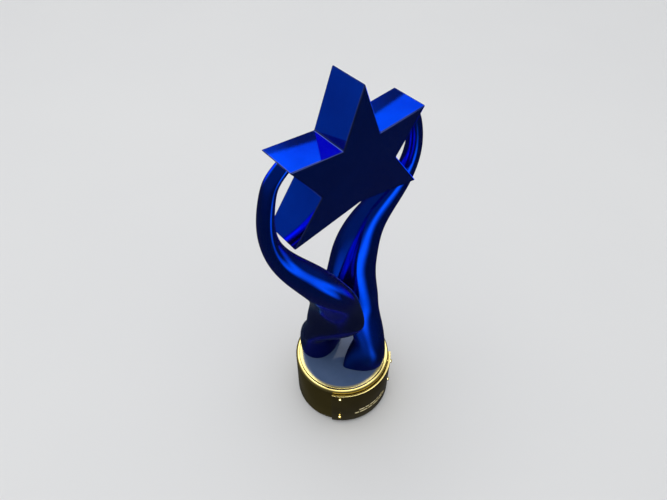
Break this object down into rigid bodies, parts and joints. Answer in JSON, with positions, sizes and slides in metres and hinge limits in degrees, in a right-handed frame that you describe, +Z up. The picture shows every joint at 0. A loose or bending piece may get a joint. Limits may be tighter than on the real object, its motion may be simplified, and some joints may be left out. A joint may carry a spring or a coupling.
{
  "type": "star trophy",
  "caption": "Award trophy: a thick blue mirror-metal star held up by swirling tapered arms on a weighted round gold base with a curved name plate.",
  "frame": {"origin": "centre of the felt pad's underside, on the table", "axes": "+Z up along the base's axis, -Y towards the front with the name plate, +X to the right seen from the front"},
  "size_m": [0.1248, 0.0793, 0.2996],
  "materials": {
    "blue_mirror": "mirror polished and dyed deep blue",
    "dark_gold": "polished dark gold plating",
    "bright_gold": "polished pale gold plating",
    "slate_lacquer": "dark blue-grey gloss lacquer, bare gold towards the edge",
    "cast_iron": "as cast",
    "zinc_steel": "zinc plated",
    "black_plate": "black paint",
    "green_felt": "dark green felt"
  },
  "bodies": {
    "root": {"star": "blue_mirror", "left_arm": "blue_mirror", "right_arm": "blue_mirror", "top_disc": "slate_lacquer", "rim_ring": "bright_gold", "base_shell": "dark_gold", "nameplate": "dark_gold", "nameplate_screw_1": "bright_gold", "nameplate_screw_2": "bright_gold", "nameplate_screw_3": "bright_gold", "nameplate_screw_4": "bright_gold", "arm_bolt_left": "zinc_steel", "arm_bolt_right": "zinc_steel", "arm_washer_left": "zinc_steel", "arm_washer_right": "zinc_steel", "ballast_weight": "cast_iron", "base_plate": "black_plate", "base_screw_1": "zinc_steel", "base_screw_2": "zinc_steel", "base_screw_3": "zinc_steel", "felt_pad": "green_felt", "star_pin_left": "zinc_steel", "star_pin_right": "zinc_steel"}
  },
  "joints": []
}
